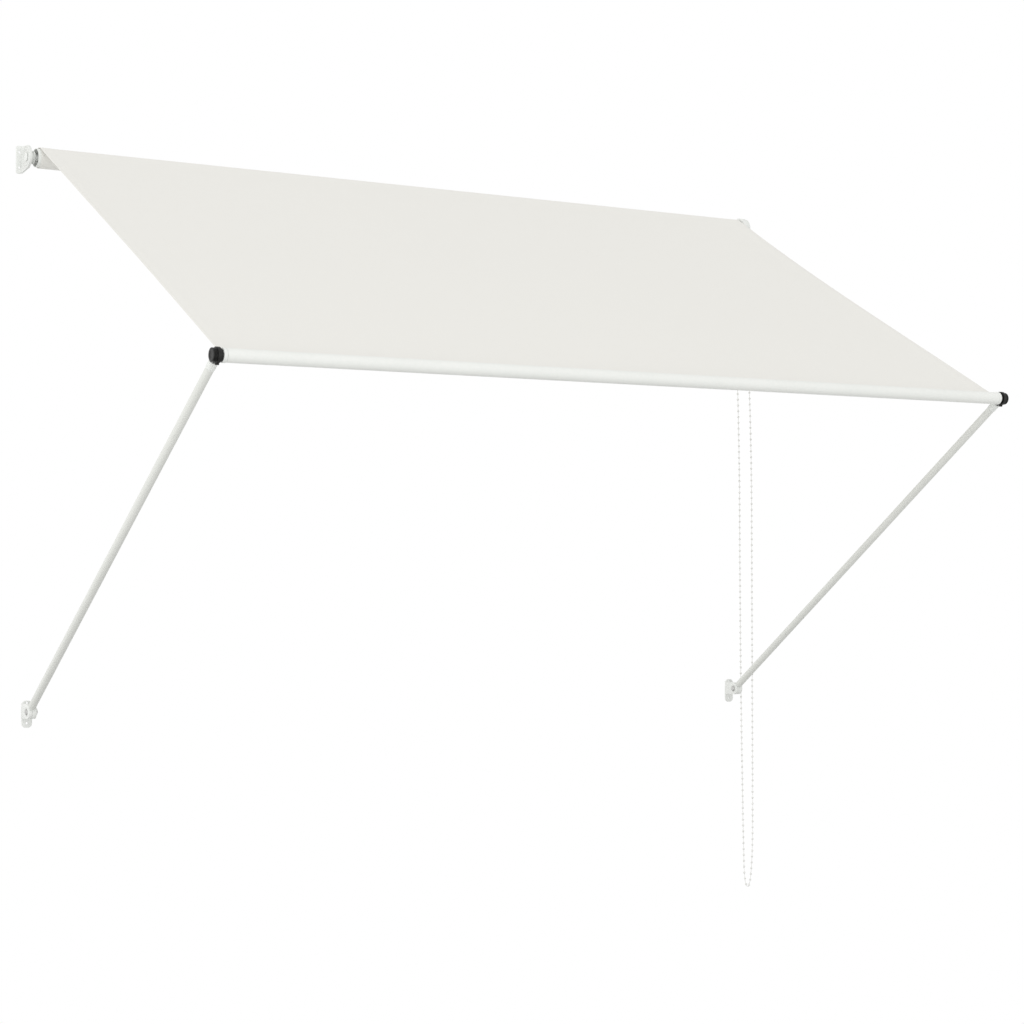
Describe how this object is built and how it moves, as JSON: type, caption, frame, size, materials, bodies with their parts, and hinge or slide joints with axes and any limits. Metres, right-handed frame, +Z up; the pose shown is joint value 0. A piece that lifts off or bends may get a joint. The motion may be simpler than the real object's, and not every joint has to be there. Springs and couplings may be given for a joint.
{
  "type": "window awning",
  "caption": "Canvas window awning: a roller on wall brackets, the let-out canvas, a front bar on two drop arms and a bead chain that winds the roller.",
  "frame": {"origin": "A point on the wall face of the left arm's bracket, in the left arm's plane, at the height of the arms' lower pivots.", "axes": "+X runs along the wall to the right seen from outside, +Y points into the wall and +Z points up."},
  "size_m": [1.5499, 0.8071, 1.3739],
  "materials": {
    "white_plastic": "white moulded plastic with a soft sheen",
    "white_beads": "white plastic beads",
    "grey_plastic": "dark grey moulded plastic",
    "black_plastic": "black moulded plastic",
    "white_paint": "white powder coat on metal tube",
    "steel": "zinc-plated steel",
    "canvas": "off-white plain-weave canvas"
  },
  "bodies": {
    "wall_side": {"roller_bracket_left": "white_plastic", "roller_bracket_right": "white_plastic", "idle_pin": "white_plastic", "chain_guard": "white_plastic", "pull_chain": "white_beads", "arm_bracket_left": "white_plastic", "arm_bracket_right": "white_plastic", "pivot_bolt_left": "steel", "pivot_bolt_right": "steel", "pivot_nut_left": "steel", "pivot_nut_right": "steel"},
    "roller": {"roller_tube": "white_paint", "idle_plug": "grey_plastic", "drive_plug": "white_plastic", "chain_wheel": "white_plastic", "wheel_cap": "grey_plastic", "canvas_roll": "canvas"},
    "arm_left": {"arm_foot_left": "white_plastic", "arm_tube_left": "white_paint", "arm_sleeve_left": "white_plastic", "arm_eye_left": "black_plastic"},
    "arm_right": {"arm_foot_right": "white_plastic", "arm_tube_right": "white_paint", "arm_sleeve_right": "white_plastic", "arm_eye_right": "black_plastic"},
    "front_bar": {"front_bar_tube": "white_paint", "canvas_rod": "grey_plastic", "bar_cap_left": "white_plastic", "bar_cap_right": "white_plastic", "pivot_collar_left": "black_plastic", "pivot_collar_right": "black_plastic", "pivot_knob_left": "black_plastic", "pivot_knob_right": "black_plastic", "pivot_pin_left": "steel", "pivot_pin_right": "steel", "canvas": "canvas"}
  },
  "joints": [
    {"name": "arm_left_swing", "type": "hinge", "parent": "wall_side", "child": "arm_left", "pos_m": [0, -0.03, 0], "axis": [-1, 0, 0], "range_deg": [0, 51], "deforming": ["canvas"]},
    {"name": "arm_right_swing", "type": "hinge", "parent": "wall_side", "child": "arm_right", "pos_m": [1.5, -0.03, 0], "axis": [-1, 0, 0], "range_deg": [0, 51]},
    {"name": "bar_swing", "type": "hinge", "parent": "arm_left", "child": "front_bar", "pos_m": [0, -0.79525, 0.55395], "axis": [-1, 0, 0], "range_deg": [-26, 0]},
    {"name": "roller_spin", "type": "hinge", "parent": "wall_side", "child": "roller", "pos_m": [0, -0.03, 0.9447], "axis": [-1, 0, 0], "range_deg": [0, 2380]}
  ],
  "couplings": [
    {"joint": "arm_right_swing", "follows": "arm_left_swing", "ratio": 1},
    {"joint": "bar_swing", "follows": "arm_left_swing", "ratio": -0.5},
    {"joint": "roller_spin", "follows": "arm_left_swing", "ratio": 46.5}
  ]
}
